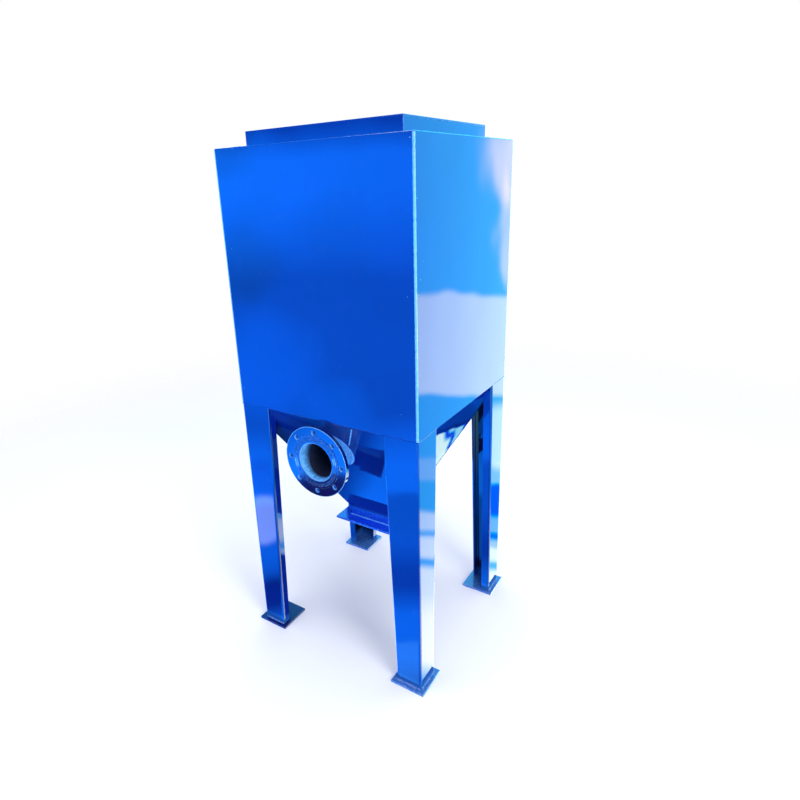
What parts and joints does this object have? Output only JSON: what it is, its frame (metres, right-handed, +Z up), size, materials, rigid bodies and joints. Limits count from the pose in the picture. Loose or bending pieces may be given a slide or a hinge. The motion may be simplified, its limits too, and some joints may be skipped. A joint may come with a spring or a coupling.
{
  "type": "cyclone separator",
  "caption": "Square welded dust separator chamber with a lid, over a pyramid hopper with a round flanged side inlet and a square bottom outlet, on lipped angle legs.",
  "frame": {"origin": "on the ground under the middle of the chamber and of the outlet", "axes": "+Z up; the inlet faces -Y; +X to the right as seen from the inlet side"},
  "size_m": [0.752, 0.753, 1.85],
  "materials": {
    "chamber_enamel": "glossy blue enamel brushed over welded sheet steel",
    "leg_enamel": "glossy blue enamel on folded sheet steel",
    "flange_enamel": "semi-gloss blue enamel on turned and flat flanges",
    "foot_enamel": "scuffed dark blue enamel with bare steel at the edges"
  },
  "bodies": {
    "root": {"front_panel": "chamber_enamel", "back_panel": "chamber_enamel", "left_panel": "chamber_enamel", "right_panel": "chamber_enamel", "roof_plate": "chamber_enamel", "lid_top": "chamber_enamel", "lid_front_wall": "chamber_enamel", "lid_back_wall": "chamber_enamel", "lid_left_wall": "chamber_enamel", "lid_right_wall": "chamber_enamel", "hopper_front_plate": "chamber_enamel", "hopper_back_plate": "chamber_enamel", "hopper_left_plate": "chamber_enamel", "hopper_right_plate": "chamber_enamel", "outlet_neck": "chamber_enamel", "outlet_flange": "flange_enamel", "inlet_flange": "flange_enamel", "inlet_pipe": "flange_enamel", "leg_front_left": "leg_enamel", "foot_plate_front_left": "foot_enamel", "leg_front_right": "leg_enamel", "foot_plate_front_right": "foot_enamel", "leg_back_left": "leg_enamel", "foot_plate_back_left": "foot_enamel", "leg_back_right": "leg_enamel", "foot_plate_back_right": "foot_enamel"}
  },
  "joints": []
}
